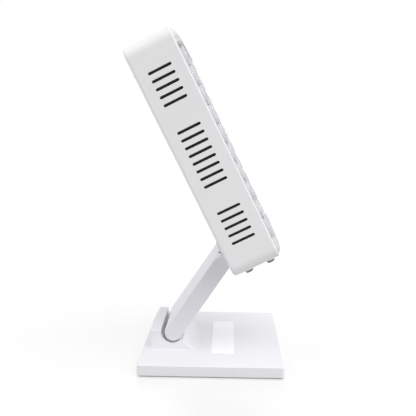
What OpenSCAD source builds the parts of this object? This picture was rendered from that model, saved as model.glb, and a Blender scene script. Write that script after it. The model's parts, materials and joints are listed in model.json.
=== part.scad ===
// Red light therapy panel on a folding table stand.
// The origin is at the middle of the base, on the table. The lamp faces -Y.

/* [Base] */
// Width of the base, side to side
base_w = 200; // [170:1:260]
// Depth of the base, front to back
base_d = 185; // [160:1:240]
// Height of the base's top above the table
base_h = 14.8; // [13.6:0.2:20]
// Corner radius of the base
base_corner = 4; // [3:0.5:10]
// Wall of the base shell
base_wall = 2.4; // [1.6:0.2:2.8]
// Thickness of the anti-slip mat
mat_t = 1.2; // [0.8:0.1:1.6]
// Step of the mat in from the base's edge
mat_inset = 1.5; // [0.5:0.5:5]
// Thickness of the base's bottom cover
cover_t = 2; // [1.6:0.2:2.4]
// Thickness of the steel ballast plate
ballast_t = 6; // [3:0.2:6.4]
// Distance of the cover screws from the base's edges
base_screw_in = 14; // [10:1:25]

/* [Hinges] */
// Height of the lower pivot above the base's top
pivot_rise = 21.5; // [19:0.5:28]
// Distance of the lower pivot from the base's rear edge
pivot_from_rear = 40.9; // [36:0.1:60]
// Radius of the hinge pins
pin_r = 4; // [3:0.25:4.5]
// Radius of the caps over the pins' ends
pin_cap_r = 6; // [5:0.25:6.5]
// Thickness of a pin cap
pin_cap_t = 3; // [2:0.5:4]
// Wall left at the blind end of a pin's bore
pin_blind_wall = 8; // [4:0.5:12]
// Distance of the hinge ears from the middle
ear_x = 24; // [20:1:28]
// Thickness of a hinge ear
ear_t = 6; // [4:0.5:8]
// Radius of a hinge ear's head
ear_r = 8.5; // [7.5:0.1:8.7]
// Width of a hinge ear's stem
stem_w = 8; // [6:0.5:8]
// Thickness of the ears' foot plates
ear_plate_t = 3; // [2:0.25:4]
// Thickness of a friction washer
washer_t = 1; // [0.5:0.1:1.5]
// Width of the base's hinge block
block_w = 94; // [88:1:110]
// Width of the panel's hinge block
bracket_w = 64; // [60:1:90]
// Height of the base's hinge block
block_h = 25.5; // [15:0.5:26]
// Reach of the base's hinge block behind the pivot
block_rear = 29.7; // [27:0.1:34]
// Reach of the base's hinge block ahead of the pivot
block_front = 32.6; // [28:0.1:45]
// Height of the front ramp where it meets the trough
ramp_h = 11.2; // [9:0.2:13]
// Distance of the ramp's top from the pivot
ramp_from_pivot = 13.5; // [12.5:0.1:16]
// Thickness of the ramp's front edge
ramp_edge = 0.8; // [0.6:0.1:1.5]
// Radius of the trough that the arm's end sits in
trough_r = 15; // [14.5:0.1:16]
// Rounding of the hinge blocks' lips
lip_round = 1.5; // [1:0.5:4]
// Reach of the panel's hinge block above the pivot
lip_reach = 28; // [24:0.5:34]
// Height of the panel's hinge block off the panel's back
lip_h = 9; // [7:0.5:13]

/* [Arm] */
// Distance between the arm's two pivots
arm_l = 114; // [105:1:140]
// Width of the arm
arm_w = 92; // [88:1:93]
// Thickness of the arm
arm_t = 23.5; // [23:0.1:24.5]
// Lean of the arm from upright, forwards
arm_lean = 34; // [25:1:40]
// Rounding of the arm's edges
arm_edge = 2.5; // [2:0.5:5]
// Wall of the arm
arm_wall = 2.5; // [2:0.1:3]
// Distance of the arm's hollow from each pivot
arm_end = 17; // [15:0.5:22]
// Thickness of the arm's cover
arm_cover_t = 2.4; // [1.8:0.1:3]

/* [Swing] */
// Furthest swing of the arm upwards from rest
arm_up = 34; // [20:1:34]
// Furthest swing of the arm forwards and down from rest
arm_down = 28; // [10:1:28]
// Furthest lean of the panel backwards from rest
panel_back = 60; // [30:1:60]
// Furthest tilt of the panel forwards from rest
panel_forward = 40; // [20:1:40]

/* [Panel] */
// Width of the panel
panel_w = 205; // [190:1:240]
// Height of the panel
panel_h = 300; // [280:1:330]
// Depth of the panel, without the lenses
panel_d = 61; // [58:0.5:75]
// Lean of the panel from upright, backwards
panel_lean = 26.2; // [10:0.1:30]
// Corner radius of the panel
panel_corner = 15; // [14:0.5:16]
// Rounding of the panel's back edges
back_round = 3.5; // [3:0.5:5]
// Side wall of the housing
panel_wall = 2.2; // [1.8:0.1:2.4]
// Back wall of the housing
back_wall = 2.5; // [2:0.1:3]
// Distance of the upper pivot behind the panel's back
pivot_back = 14.5; // [14.3:0.1:17]
// Height of the upper pivot above the panel's lower end
pivot_up = 10.3; // [10:0.1:14]
// Width of a vent slot
vent_w = 3.4; // [2:0.1:3.8]
// Length of a vent slot
vent_l = 30; // [20:1:34]
// Distance between side vent slots
vent_pitch = 10; // [8:0.5:11]
// Thickness of the dust screens behind the side vents
screen_t = 1; // [0.5:0.1:2]
// Radius of the rubber feet on the lower end
foot_r = 5.25; // [4:0.25:6]
// Height of the rubber feet
foot_h = 4; // [2:0.5:5]
// Distance of the rear feet from the panel's back
foot_rear = 19; // [14:0.5:24]
// Distance of the front feet from the panel's back
foot_front = 48; // [36:0.5:50]

/* [Lamps] */
// Distance between lenses across the panel
lens_pitch_x = 29; // [28:0.5:29.5]
// Distance between lenses up the panel
lens_pitch_v = 25.4; // [24.5:0.1:25.5]
// Radius of a lens
lens_r = 12.2; // [9:0.1:12.2]
// Height of a lens
lens_rise = 5; // [3:0.5:7]
// Height of a lens's crown, within its height
lens_crown = 1.2; // [0.6:0.1:2]
// Width of the panel's front beside the window
frame_side = 13.5; // [12.5:0.5:14.5]
// Width of the panel's front above and below the window
frame_end = 22; // [21:0.5:22.5]
// Corner radius of the window
window_corner = 6; // [3:0.5:8]
// Thickness of the front frame
frame_t = 3; // [2:0.25:4]
// Step of the frame down from the housing's rim
frame_step = 0.5; // [0.3:0.1:1.5]
// Rise of the frame's end bars
bar_rise = 6.5; // [2:0.5:9]
// Edge of the lens plate behind the frame
lens_flange = 5; // [3:0.5:5]
// Thickness of the lens plate's edge
flange_t = 3; // [2:0.25:4]
// Thickness of the rubber gasket
gasket_t = 3.9; // [3.4:0.1:5]
// Thickness of the LED board
board_t = 1.6; // [1:0.1:2]
// Side of an LED chip
chip_w = 5; // [3:0.5:6]
// Height of an LED chip
chip_t = 1.2; // [0.8:0.1:2]
// Thickness of the heat sink's plate
sink_t = 5; // [4:0.25:6]
// Height of the heat sink's fins
fin_h = 14; // [6:0.5:16]

/* [Cooling and power] */
// Side of a fan
fan_w = 80; // [76:1:82]
// Depth of a fan
fan_d = 15; // [14:0.5:20]
// Distance of the fans from the middle
fan_x = 46; // [43:0.5:50]
// Height of the fans above the panel's middle
fan_v = 45; // [40:1:70]
// Blades on a fan
fan_blades = 7; // [5:1:9]
// Width of the power supply
supply_w = 120; // [100:1:124]
// Height of the power supply, up the panel
supply_h = 44; // [40:1:50]
// Depth of the power supply
supply_d = 28; // [24:0.5:32]
// Width of the power inlet's body
inlet_w = 27; // [26:0.5:28]
// Height of the power inlet's body
inlet_h = 20; // [19:0.5:21]
// Depth of the power inlet's socket from its mouth
socket_d = 15.5; // [14:0.5:17]
// Length of the inlet's pins
inlet_pin_l = 8; // [6:0.5:9]
// Length of the rocker
rocker_l = 15.2; // [14:0.2:16]
// Width of the rocker
rocker_w = 9.6; // [8:0.2:10]
// Tilt of the rocker to each side
rocker_tilt = 7; // [4:0.5:8]
// Thickness of a wire
wire_t = 2.4; // [1.6:0.2:3]

/* [Hidden] */
$fn = 48;

// Clearances, and the cut made past a face
fit = 0.2;
stem_fit = 0.3;
thread_fit = 0.05;
pin_seat_fit = 0.02;
pin_run_fit = 0.05;
washer_gap = 0.1;
swing_gap = 1;
ear_gap = 0.4;
over = 1;

// Screw shanks and heads
screw_r = 1.5;
head_r = 2.9;
head_h = 2;
countersink = head_r - screw_r;
bite = 7;
boss_r = 4.5;

// The two pivots and the bodies' frames
arm_r = arm_t / 2;
pivot_y = base_d / 2 - pivot_from_rear;
pivot_z = base_h + pivot_rise;
upper_y = pivot_y - arm_l * sin(arm_lean);
upper_z = pivot_z + arm_l * cos(arm_lean);
fold = arm_lean + panel_lean;
module at_lower_pivot() translate([0, pivot_y, pivot_z]) children();
module in_arm() at_lower_pivot() rotate([arm_lean, 0, 0]) children();
module at_arm_top() in_arm() translate([0, 0, arm_l]) children();
module at_upper_pivot() translate([0, upper_y, upper_z]) rotate([-panel_lean, 0, 0]) children();
// In the panel: x across, y up from its middle, z forwards from its back face
pivot_v = pivot_up - panel_h / 2;
module in_panel()
    at_upper_pivot() translate([0, -pivot_back, -pivot_v]) rotate([90, 0, 0]) children();

// Shared shapes
module rounded(w, h, r) {
    square([w - 2 * r, h], center = true);
    square([w, h - 2 * r], center = true);
    for (x = [-1, 1], y = [-1, 1])
        translate([x * (w / 2 - r), y * (h / 2 - r)]) circle(r);
}
// A slot with round ends
module stadium(l, w) {
    square([l - w, w], center = true);
    for (x = [-1, 1]) translate([x * (l - w) / 2, 0]) circle(w / 2);
}
module slab(w, h, r, z0, z1) translate([0, 0, z0]) linear_extrude(z1 - z0) rounded(w, h, r);
module box(w, h, z0, z1) translate([-w / 2, -h / 2, z0]) cube([w, h, z1 - z0]);
module rod(r, z0, z1) translate([0, 0, z0]) cylinder(r = r, h = z1 - z0);
module axle(r, x0, x1) translate([x0, 0, 0]) rotate([0, 90, 0]) cylinder(r = r, h = x1 - x0);
module corners(x, y) for (i = [-1, 1], j = [-1, 1]) translate([i * x, j * y, 0]) children();
module pairs(x) for (i = [-1, 1]) translate([i * x, 0, 0]) children();
// A profile drawn with y across and z up, as wide as w along x
module across(w) rotate([90, 0, 90]) linear_extrude(w, center = true) children();
// The room that a bar of half width r takes as it swings from angle a to angle b about the origin
module swing(r, a, b, reach) {
    circle(r);
    for (t = [a, b]) rotate(t) translate([0, -r]) square([reach, 2 * r]);
    polygon([[0, 0], for (k = [0:4]) let (t = a + (b - a) * k / 4) reach * [cos(t), sin(t)]]);
}
// A screw pointing up from z = 0, its head below
module screw(length) {
    rod(screw_r, -head_h / 2, length);
    rod(head_r, -head_h, 0);
}
// A countersunk screw pointing up, its head's face at z = 0
module sunk_screw(length) {
    rod(screw_r, 0, length);
    cylinder(r1 = head_r, r2 = screw_r, h = countersink);
}
module sunk_hole(length) {
    rod(screw_r + fit, -over, length);
    translate([0, 0, -fit])
        cylinder(r1 = head_r + 2 * fit, r2 = screw_r + fit, h = countersink + fit);
}

// Base
cover_z = mat_t + cover_t;
ceiling_z = base_h - base_wall;
base_screw_x = base_w / 2 - base_screw_in;
base_screw_y = base_d / 2 - base_screw_in;
least_corner = 0.5;
inner_corner = max(base_corner - base_wall, least_corner);
// The ears' foot plates, and their edge past the ears
plate_edge = 6;
plate_w = 2 * (ear_x + plate_edge) + ear_t;
plate_d = 24;
// Step of the block's screws in from the middle of the room beside the foot plate
block_screw_in = 2;
block_screw_x = (plate_w + block_w) / 4 - block_screw_in;
block_screw_rear = (trough_r + block_rear) / 2;
front_screw_back = 2.5;
block_screw_front = ramp_from_pivot - front_screw_back;
module at_block_screws()
    for (x = [-1, 1], y = [block_screw_rear, -block_screw_front])
        translate([x * block_screw_x, pivot_y + y, ceiling_z]) children();

module base_shell() color("white") difference() {
    union() {
        difference() {
            slab(base_w, base_d, base_corner, mat_t, base_h);
            slab(base_w - 2 * base_wall, base_d - 2 * base_wall, inner_corner, mat_t - over, ceiling_z);
        }
        corners(base_screw_x, base_screw_y) rod(boss_r, cover_z, base_h - base_wall / 2);
    }
    corners(base_screw_x, base_screw_y) rod(screw_r + thread_fit, cover_z - over, cover_z + bite);
    at_block_screws() rod(screw_r + fit, -over, base_wall + over);
}
module base_ballast() {
    clear = 2 * (base_screw_in + boss_r + over);
    color("dimgray") slab(base_w - clear, base_d - clear, base_corner, cover_z, cover_z + ballast_t);
}
module base_cover() color("gainsboro") difference() {
    slab(base_w - 2 * (base_wall + fit), base_d - 2 * (base_wall + fit), inner_corner, mat_t, cover_z);
    corners(base_screw_x, base_screw_y) translate([0, 0, mat_t]) sunk_hole(cover_t + over);
}
module base_cover_screws()
    color("silver") corners(base_screw_x, base_screw_y) translate([0, 0, mat_t]) sunk_screw(bite);
module anti_slip_mat()
    color("black") slab(base_w - 2 * mat_inset, base_d - 2 * mat_inset, base_corner, 0, mat_t);

// Lower hinge
lip_z = block_h - pivot_rise;
floor_z = -pivot_rise;
ramp_z = floor_z + ramp_h;
ramp_run = block_front - ramp_from_pivot;
ramp_climb = ramp_h - ramp_edge;
ramp_r = (ramp_run * ramp_run + ramp_climb * ramp_climb) / (2 * ramp_climb);
// The trough's middle lies a little behind and above the pivot
trough_back = 1.5;
trough_up = 1;
block_clear = 2 * arm_t;
module hinge_block_profile() difference() {
    union() {
        translate([-block_front, floor_z]) square([block_front + block_rear, ramp_h]);
        translate([0, floor_z]) square([block_rear, block_h - lip_round]);
        translate([0, floor_z]) square([block_rear - lip_round, block_h]);
        translate([block_rear - lip_round, lip_z - lip_round]) circle(lip_round);
    }
    translate([-block_front, floor_z + ramp_edge + ramp_r]) circle(ramp_r);
    translate([-block_front - over, floor_z + ramp_edge]) square([over, ramp_h]);
    translate([trough_back, trough_up]) circle(trough_r);
    translate([-ramp_from_pivot, ramp_z]) square([ramp_from_pivot, block_h]);
    swing(arm_r + swing_gap, 90 + arm_lean - arm_up, 90 + arm_lean + arm_down, block_clear);
}
module hinge_block() color("white") difference() {
    at_lower_pivot() difference() {
        across(block_w) hinge_block_profile();
        translate([0, 0, floor_z]) {
            box(plate_w + 2 * fit, plate_d + 2 * fit, -over, ear_plate_t);
            pairs(ear_x) box(ear_t + 2 * stem_fit, stem_w + 2 * stem_fit, -over, pivot_rise);
        }
    }
    at_block_screws() rod(screw_r + thread_fit, 0, base_wall + bite);
}
module hinge_block_screws()
    color("silver") at_block_screws() screw(base_wall + bite);
// One ear: a round head on the pivot and a stem that reaches down to z = -length
module ear(length) across(ear_t) {
    circle(ear_r);
    translate([-stem_w / 2, -length]) square([stem_w, length]);
}
module base_hinge_ears() color("slategray") at_lower_pivot() difference() {
    union() {
        translate([0, 0, floor_z]) box(plate_w, plate_d, 0, ear_plate_t);
        pairs(ear_x) ear(pivot_rise - ear_plate_t / 2);
    }
    axle(pin_r + pin_run_fit, -plate_w, plate_w);
}

// Arm
arm_half = arm_w / 2;
hollow_w = arm_w - 2 * arm_wall - 2 * arm_edge;
hollow_l = arm_l - 2 * arm_end;
ledge = 2;
cover_w = hollow_w + 2 * ledge;
cover_l = hollow_l + 2 * ledge;
cover_post_r = 3.5;
post_merge = 1;
cover_screw_x = hollow_w / 2 - cover_post_r + post_merge;
cover_screw_z = hollow_l / 2 - cover_post_r + post_merge;
pin_x0 = pin_blind_wall - arm_half;
pin_x1 = arm_half - pin_cap_t;
slot_w = ear_t + 2 * (washer_t + washer_gap);
module arm_end_profile() {
    translate([0, -arm_half]) square([arm_r - arm_edge, arm_w]);
    translate([0, arm_edge - arm_half]) square([arm_r, arm_w - 2 * arm_edge]);
    for (h = [-1, 1]) translate([arm_r - arm_edge, h * (arm_half - arm_edge)]) circle(arm_edge);
}
module arm_round_end(turn) rotate([0, 90, 0]) rotate([0, 0, turn]) rotate_extrude(angle = 180)
    intersection() {
        arm_end_profile();
        translate([0, -arm_w]) square([arm_t, 2 * arm_w]);
    }
// Room for the ears, their washers and the pin at one end of the arm
module hinge_room(a, b) {
    pairs(ear_x) across(slot_w) {
        circle(ear_r + ear_gap);
        swing(stem_w / 2 + ear_gap, a, b, arm_t);
    }
    axle(pin_r + pin_seat_fit, pin_x0, arm_half + over);
    axle(pin_cap_r + thread_fit, pin_x1, arm_half + over);
}
// The middle of the arm's underside, with z pointing into the arm
module at_underside() translate([0, -arm_r, arm_l / 2]) rotate([-90, 0, 0]) children();
module arm_body() color("white") in_arm() difference() {
    union() {
        linear_extrude(arm_l) rounded(arm_w, arm_t, arm_edge);
        arm_round_end(-90);
        translate([0, 0, arm_l]) arm_round_end(90);
    }
    at_underside() {
        box(cover_w + 2 * fit, cover_l + 2 * fit, -over, arm_cover_t);
        difference() {
            box(hollow_w, hollow_l, 0, arm_t - arm_wall);
            corners(cover_screw_x, cover_screw_z) rod(cover_post_r, arm_cover_t, arm_t);
        }
        corners(cover_screw_x, cover_screw_z) rod(screw_r + thread_fit, 0, arm_cover_t + bite);
    }
    hinge_room(270 - arm_lean - arm_down, 270 - arm_lean + arm_up);
    translate([0, 0, arm_l]) hinge_room(180 - fold - panel_back, 180 - fold + panel_forward);
}
module arm_cover() color("gainsboro") in_arm() at_underside() difference() {
    box(cover_w, cover_l, 0, arm_cover_t);
    corners(cover_screw_x, cover_screw_z) sunk_hole(arm_cover_t + over);
}
module arm_cover_screws() color("silver") in_arm() at_underside()
    corners(cover_screw_x, cover_screw_z) sunk_screw(arm_cover_t + bite - over);
module lower_hinge_pin() color("silver") in_arm() axle(pin_r, pin_x0, pin_x1);
module upper_hinge_pin() color("silver") at_arm_top() axle(pin_r, pin_x0, pin_x1);
module pin_caps() color("white") in_arm()
    for (z = [0, arm_l]) translate([0, 0, z]) axle(pin_cap_r, pin_x1, arm_half);
module washer_set() pairs(ear_x) pairs(ear_t / 2 + washer_gap + washer_t / 2) difference() {
    axle(ear_r, -washer_t / 2, washer_t / 2);
    axle(pin_r + pin_run_fit, -washer_t, washer_t);
}
module lower_friction_washers() color("goldenrod") in_arm() washer_set();
module upper_friction_washers() color("goldenrod") at_arm_top() washer_set();

// Upper hinge
arm_room = arm_r + swing_gap;
block_foot = pivot_up - back_round;
lip_y = lip_h - pivot_back;
bracket_v = pivot_v + (arm_room + lip_reach) / 2 + over;
// The bracket's screws stand between the ears: a pair near the middle and a pair beside the ears
bracket_screw_in = 5.5;
bracket_screw_edge = 5.5;
bracket_screw_out = ear_x - ear_t / 2 - bracket_screw_edge;
bracket_x = [for (side = [-1, 1], x = [bracket_screw_in, bracket_screw_out]) side * x];
bracket_skin = 2;
bracket_bite = lip_h - bracket_skin;
foot_plate_low = 7;
bracket_clear = 3 * arm_t;
module at_bracket_screws()
    for (x = bracket_x)
        translate([x, bracket_v, back_wall + ear_plate_t]) mirror([0, 0, 1]) children();
module panel_block_profile() difference() {
    union() {
        translate([-pivot_back, -block_foot]) square([lip_h - lip_round, block_foot + lip_reach]);
        translate([-pivot_back, -block_foot]) square([lip_h, block_foot + lip_reach - lip_round]);
        translate([lip_y - lip_round, lip_reach - lip_round]) circle(lip_round);
    }
    swing(arm_room, fold - 90 - panel_forward, fold - 90 + panel_back, bracket_clear);
    translate([-arm_room, -arm_t]) square([arm_t, arm_t]);
}
module panel_hinge_block() color("white") difference() {
    at_upper_pivot() across(bracket_w) panel_block_profile();
    in_panel() {
        ear_slots(-pivot_back);
        at_bracket_screws() rod(screw_r + thread_fit, 0, back_wall + ear_plate_t + bracket_bite);
    }
}
// Slots for the stems of the panel's ears, from z0 to inside the housing
module ear_slots(z0) translate([0, pivot_v, 0]) pairs(ear_x)
    box(ear_t + 2 * stem_fit, stem_w + 2 * stem_fit, z0, back_wall + over);
module panel_hinge_ears() color("slategray") difference() {
    union() {
        in_panel() translate([-plate_w / 2, pivot_v - foot_plate_low, back_wall])
            cube([plate_w, foot_plate_low + lip_reach, ear_plate_t]);
        at_upper_pivot() rotate([-90, 0, 0]) pairs(ear_x) ear(pivot_back + back_wall + ear_plate_t / 2);
    }
    at_upper_pivot() axle(pin_r + pin_run_fit, -plate_w, plate_w);
    in_panel() at_bracket_screws() rod(screw_r + fit, -over, ear_plate_t + over);
}
module bracket_screws() color("silver") in_panel()
    at_bracket_screws() screw(back_wall + ear_plate_t + bracket_bite - over);

// Depths in the panel, from its back face forwards
frame_z1 = panel_d - frame_step;
frame_z0 = frame_z1 - frame_t;
flange_z0 = frame_z0 - flange_t;
board_z1 = flange_z0 - gasket_t;
board_z0 = board_z1 - board_t;
sink_z0 = board_z0 - sink_t;
lens_z0 = panel_d;

// Places in the panel, seen from the front
window_w = panel_w - 2 * frame_side;
window_h = panel_h - 2 * frame_end;
lens_columns = floor(window_w / lens_pitch_x);
lens_rows = floor(window_h / lens_pitch_v);
flange_w = window_w + 2 * lens_flange;
flange_h = window_h + 2 * lens_flange;
flange_round = 2;
flange_corner = window_corner + flange_round;
rim_w = panel_w - 2 * panel_wall;
rim_h = panel_h - 2 * panel_wall;
rim_corner = panel_corner - panel_wall;
bar_v = window_h / 2;
// The bar's curve ends a little inside the frame's outer edge
bar_land = 0.6;
bar_run = rim_h / 2 - fit - bar_land - bar_v;
bar_r = (bar_run * bar_run + bar_rise * bar_rise) / (2 * bar_rise);
front_boss_r = 5;
front_screw_in = 8;
front_screw_x = rim_w / 2 - front_screw_in;
front_screw_v = rim_h / 2 - front_screw_in;
post_r = 4;
post_side = 16;
post_end = 30;
post_x = rim_w / 2 - post_side;
post_v = rim_h / 2 - post_end;
fan_rim = 2;
fan_screw_in = 4.25;
fan_bore = fan_w / 2 - fan_rim;
fan_screw = fan_w / 2 - fan_screw_in;
supply_side = 10;
supply_gap = 12;
supply_screw_in = 8;
supply_x = supply_side + supply_w / 2 - rim_w / 2;
supply_v = post_r + supply_gap + supply_h / 2 - post_v;
power_side = 28;
power_end = 6;
power_x = rim_w / 2 - power_side;
inlet_v = supply_v - supply_h / 2 + power_end;
switch_v = supply_v + supply_h / 2 - power_end;
// Each group of side vents: its middle, counted in slots up from the panel's middle, and its slots
vent_groups = [[9, 5], [0, 8], [-9, 5]];
vent_z = panel_d / 2;
screen_edge = 3;
foot_x = panel_w / 2 - panel_corner - foot_r;
foot_stem_r = 2;
switch_side = 1.6;
switch_end = 2.1;
switch_w = rocker_w + 2 * switch_side;
switch_l = rocker_l + 2 * switch_end;
grille_pitch = 6;
grille_edge = 1;
grille_r = fan_bore - grille_edge;

// The housing's outside: rounded corners, and a rounded edge round the back
module housing_outside() {
    flat_x = panel_w / 2 - panel_corner;
    flat_v = panel_h / 2 - panel_corner;
    slab(panel_w, panel_h, panel_corner, back_round, panel_d);
    slab(panel_w - 2 * back_round, panel_h - 2 * back_round, panel_corner - back_round, 0, back_round);
    for (side = [-1, 1]) {
        translate([0, side * (panel_h / 2 - back_round), back_round])
            edge_round(2 * flat_x, side > 0 ? 0 : 180);
        translate([side * (panel_w / 2 - back_round), 0, back_round])
            rotate([0, 0, 90]) edge_round(2 * flat_v, side > 0 ? 180 : 0);
    }
    for (q = [[1, 1, 0], [-1, 1, 90], [-1, -1, 180], [1, -1, 270]])
        translate([q[0] * flat_x, q[1] * flat_v, back_round]) rotate([0, 0, q[2]])
            rotate_extrude(angle = 90) translate([panel_corner - back_round, 0]) quarter_round();
}
module quarter_round() intersection() {
    circle(back_round);
    translate([0, -back_round]) square(back_round);
}
module edge_round(length, turn)
    rotate([0, 0, turn]) rotate([90, 0, 90]) linear_extrude(length, center = true) quarter_round();
module side_vents() for (group = vent_groups, k = [0:group[1] - 1])
    translate([0, (group[0] + k - (group[1] - 1) / 2) * vent_pitch, vent_z])
        rotate([0, 90, 0]) linear_extrude(2 * panel_w, center = true) stadium(vent_l, vent_w);
module fan_grille() {
    rows = floor((grille_r - vent_w) / grille_pitch);
    translate([0, 0, -over]) linear_extrude(back_wall + 2 * over) for (k = [-rows:rows]) {
        half = sqrt(grille_r * grille_r - pow(k * grille_pitch, 2));
        translate([0, k * grille_pitch]) stadium(2 * half, vent_w);
    }
}
module at_fans() for (side = [-1, 1]) translate([side * fan_x, fan_v, 0]) children();
module at_feet() for (x = [-1, 1], z = [foot_rear, foot_front])
    translate([x * foot_x, -panel_h / 2, z]) rotate([-90, 0, 0]) children();
module at_supply_screws() translate([supply_x, supply_v, 0])
    corners(supply_w / 2 - supply_screw_in, supply_h / 2 - supply_screw_in) children();
// A square hole for a piece of width w and height h in the housing's back
module back_cut(w, h) box(w + 2 * fit, h + 2 * fit, -over, back_wall + over);

module rear_housing() color("white") in_panel() difference() {
    union() {
        difference() {
            housing_outside();
            slab(rim_w, rim_h, rim_corner, back_wall, panel_d + over);
            side_vents();
        }
        corners(front_screw_x, front_screw_v) rod(front_boss_r, back_wall / 2, frame_z0);
    }
    corners(front_screw_x, front_screw_v) rod(screw_r + thread_fit, frame_z0 - bite - over, panel_d);
    at_fans() {
        fan_grille();
        corners(fan_screw, fan_screw) rod(screw_r + fit, -over, back_wall + over);
    }
    corners(post_x, post_v) rod(screw_r + fit, -over, back_wall + over);
    at_supply_screws() rod(screw_r + fit, -over, back_wall + over);
    at_bracket_screws() rod(screw_r + fit, 0, ear_plate_t + back_wall + over);
    ear_slots(-over);
    at_feet() rod(foot_stem_r + thread_fit, -over, panel_wall + over);
    translate([power_x, inlet_v, 0]) back_cut(inlet_w, inlet_h);
    translate([power_x, switch_v, 0]) back_cut(switch_w, switch_l);
}
module vent_screens() {
    reach = vent_l / 2 + screen_edge;
    color("black") in_panel() pairs(rim_w / 2 - screen_t / 2)
        box(screen_t, rim_h - 2 * rim_corner, vent_z - reach, vent_z + reach);
}
module panel_feet() color("dimgray") in_panel() at_feet() {
    rod(foot_r, -foot_h, 0);
    rod(foot_stem_r, -over, panel_wall + over);
    rod(foot_stem_r + over, panel_wall, panel_wall + over);
}

// Front of the panel
module bar_profile(side) intersection() {
    translate([side * bar_v, frame_z1 + bar_rise - bar_r]) circle(bar_r, $fn = 96);
    translate([side > 0 ? bar_v : -bar_v - bar_run, frame_z0]) square([bar_run, frame_t + bar_rise]);
}
module frame_blank(top)
    slab(rim_w - 2 * fit, rim_h - 2 * fit, rim_corner - fit, frame_z0, top);
module front_frame() color("white") in_panel() difference() {
    union() {
        frame_blank(frame_z1);
        intersection() {
            frame_blank(panel_d + 2 * bar_rise);
            for (side = [-1, 1]) across(rim_w) bar_profile(side);
        }
    }
    slab(window_w, window_h, window_corner, frame_z0 - over, frame_z1 + over);
    corners(front_screw_x, front_screw_v) {
        rod(screw_r + fit, frame_z0 - over, panel_d + bar_rise);
        rod(head_r + fit, frame_z1 - head_h, panel_d + 2 * bar_rise);
    }
}
module front_screws() color("silver") in_panel() corners(front_screw_x, front_screw_v)
    translate([0, 0, frame_z1 - head_h]) mirror([0, 0, 1]) screw(frame_t - head_h + bite);
module at_lenses() {
    first_x = -(lens_columns - 1) / 2 * lens_pitch_x;
    first_v = -(lens_rows - 1) / 2 * lens_pitch_v;
    for (i = [0:lens_columns - 1], j = [0:lens_rows - 1])
        translate([first_x + i * lens_pitch_x, first_v + j * lens_pitch_v, 0]) children();
}
// One lens: a drum with the cap of a sphere for a crown, standing on z = 0
module lens() {
    ball_r = (lens_r * lens_r + lens_crown * lens_crown) / (2 * lens_crown);
    rotate_extrude() intersection() {
        translate([0, lens_rise - ball_r]) circle(ball_r, $fn = 360);
        translate([0, -over]) square([lens_r, lens_rise + over]);
    }
}
module lens_plate() color("lightsteelblue", 0.6) in_panel() {
    slab(flange_w, flange_h, flange_corner, flange_z0, frame_z0);
    slab(window_w - 2 * fit, window_h - 2 * fit, window_corner - fit, frame_z0 - over, lens_z0);
    translate([0, 0, lens_z0]) at_lenses() lens();
}
module lens_gasket() color("black") in_panel() difference() {
    slab(flange_w, flange_h, flange_corner, board_z1, flange_z0);
    slab(window_w, window_h, window_corner, board_z1 - over, flange_z0 + over);
}
sink_side = 2;
sink_end = 5;
sink_w = flange_w - 2 * sink_side;
sink_h = flange_h - 2 * sink_end;
fin_t = 2;
fin_pitch = 12;
fin_gap = 10;
fin_end = 4;
// Board screws sit between the outer lenses
board_screw_x = (lens_columns / 2 - 1) * lens_pitch_x;
board_screw_v = (lens_rows / 2 - 1) * lens_pitch_v;
lamp_wire_side = 15;
lamp_wire_x = supply_x - supply_w / 2 + lamp_wire_side;
lamp_wire_gap = 8;
module at_board_screws() for (x = [-1, 1], v = [-1, 0, 1])
    translate([x * board_screw_x, v * board_screw_v, board_z1]) mirror([0, 0, 1]) children();
module at_lamp_wires() for (k = [-1, 1])
    translate([lamp_wire_x + k * lamp_wire_gap / 2, supply_v, 0]) children();
module led_board() color("ivory") in_panel() difference() {
    slab(flange_w, flange_h, flange_corner, board_z0, board_z1);
    at_board_screws() rod(screw_r + fit, -over, board_t + over);
}
module led_chips() color("lightyellow") in_panel()
    at_lenses() box(chip_w, chip_w, board_z1, board_z1 + chip_t);
module led_board_screws() color("silver") in_panel() at_board_screws() screw(board_t + sink_t - over);
module heat_sink() color("silver") in_panel() difference() {
    union() {
        slab(sink_w, sink_h, flange_corner, sink_z0, board_z0);
        low = supply_v + supply_h / 2 + fin_gap;
        high = sink_h / 2 - fin_end;
        each_side = floor((post_x - post_r - fin_t) / fin_pitch);
        for (k = [-each_side:each_side])
            translate([k * fin_pitch - fin_t / 2, low, sink_z0 - fin_h])
                cube([fin_t, high - low, fin_h + over]);
    }
    at_board_screws() rod(screw_r + thread_fit, 0, board_t + sink_t - over + thread_fit);
    corners(post_x, post_v) translate([0, 0, board_z0]) mirror([0, 0, 1]) sunk_hole(sink_t + over);
    at_lamp_wires() rod(wire_t / 2 + fit, sink_z0 - over, board_z0 + over);
}
post_bore = 9;
module heat_sink_posts() color("silver") in_panel() corners(post_x, post_v) difference() {
    rod(post_r, back_wall, sink_z0);
    rod(screw_r + thread_fit, back_wall - over, back_wall + post_bore);
    rod(screw_r + thread_fit, sink_z0 - post_bore, sink_z0 + over);
}
module heat_sink_screws() color("silver") in_panel() corners(post_x, post_v)
    translate([0, 0, board_z0]) mirror([0, 0, 1]) sunk_screw(sink_t + bite);
module post_screws()
    color("silver") in_panel() corners(post_x, post_v) screw(back_wall + bite);

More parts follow.
